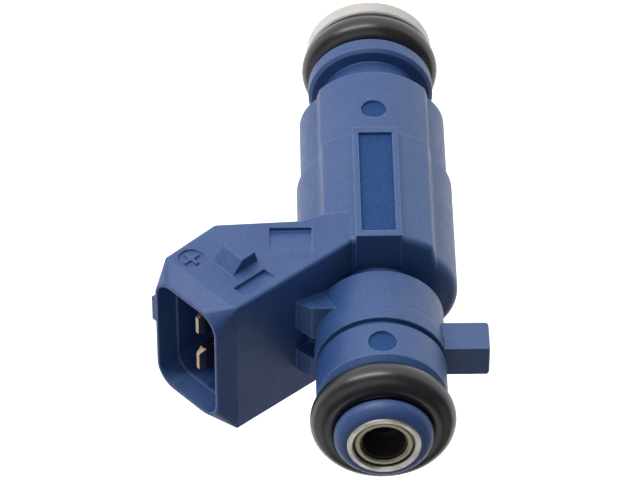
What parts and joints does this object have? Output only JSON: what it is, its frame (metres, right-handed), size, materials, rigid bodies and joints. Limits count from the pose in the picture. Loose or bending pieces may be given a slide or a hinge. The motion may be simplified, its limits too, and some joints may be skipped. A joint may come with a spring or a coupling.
{
  "type": "fuel injector",
  "caption": "Top-feed fuel injector with a spring-closed solenoid ball valve, a slanted electrical connector and an O-ring at each end.",
  "frame": {"origin": "on the injector axis, at the nozzle end face", "axes": "+Z along the axis from the nozzle to the fuel inlet, +X to the side the connector leans to, -Y the front with the framed panel"},
  "size_m": [0.0342, 0.0197, 0.0607],
  "materials": {
    "blue_plastic": "fine satin moulded, glass-filled nylon",
    "steel": "turned and drawn stainless steel",
    "magnetic_steel": "turned, ground on the running faces",
    "rubber_black": "moulded fluorocarbon rubber, lightly oiled",
    "brass": "drawn, satin",
    "natural_plastic": "unpigmented nylon, slightly translucent",
    "copper": "enamelled copper wire",
    "tinned_bronze": "stamped, tin plated",
    "black_plastic": "moulded, glass-filled"
  },
  "bodies": {
    "injector": {"housing": "blue_plastic", "core_tube": "steel", "inlet_collar": "blue_plastic", "inlet_o_ring": "rubber_black", "filter_ring": "brass", "filter_cage": "black_plastic", "filter_mesh": "steel", "adjusting_sleeve": "steel", "closing_spring": "steel", "valve_seat": "magnetic_steel", "orifice_plate": "steel", "nozzle_body": "steel", "nozzle_o_ring": "rubber_black", "nozzle_cap": "natural_plastic", "nonmagnetic_ring": "steel", "solenoid_casing": "magnetic_steel", "casing_cover": "magnetic_steel", "coil_bobbin": "black_plastic", "coil_winding": "copper", "terminal_positive": "tinned_bronze", "terminal_negative": "tinned_bronze"},
    "valve": {"armature": "magnetic_steel", "needle_tube": "steel", "valve_ball": "steel"}
  },
  "joints": [
    {"name": "valve_lift", "type": "slide", "parent": "injector", "child": "valve", "axis": [0, 0, 1], "range_m": [0, 0.0001], "stiffness_N_per_m": 3000, "springref_m": -0.0012, "deforming": ["closing_spring"]}
  ]
}
